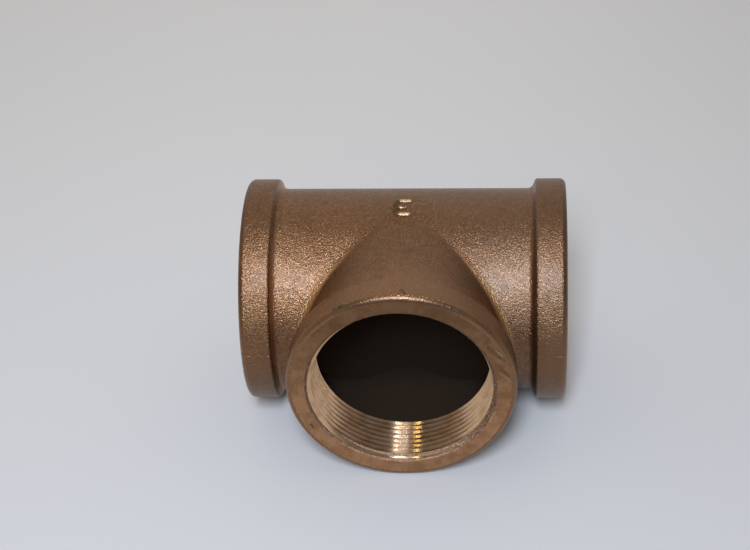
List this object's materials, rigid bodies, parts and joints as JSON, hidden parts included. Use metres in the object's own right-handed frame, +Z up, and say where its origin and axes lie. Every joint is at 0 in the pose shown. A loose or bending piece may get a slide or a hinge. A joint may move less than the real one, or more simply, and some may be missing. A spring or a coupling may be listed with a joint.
{
  "type": "bronze pipe tee",
  "caption": "Cast bronze straight tee with banded ports for three-inch taper pipe threads, joining a branch at right angles to a run.",
  "frame": {"origin": "where the axes of the three ports cross", "axes": "X along the run, -Y out of the branch port, +Z up as the tee lies on its three bands"},
  "size_m": [0.1564, 0.1327, 0.109],
  "materials": {
    "bronze": "sand-cast bronze, dull brown, with bright cut threads in the ports"
  },
  "bodies": {
    "root": {"tee_casting": "bronze"}
  },
  "joints": []
}
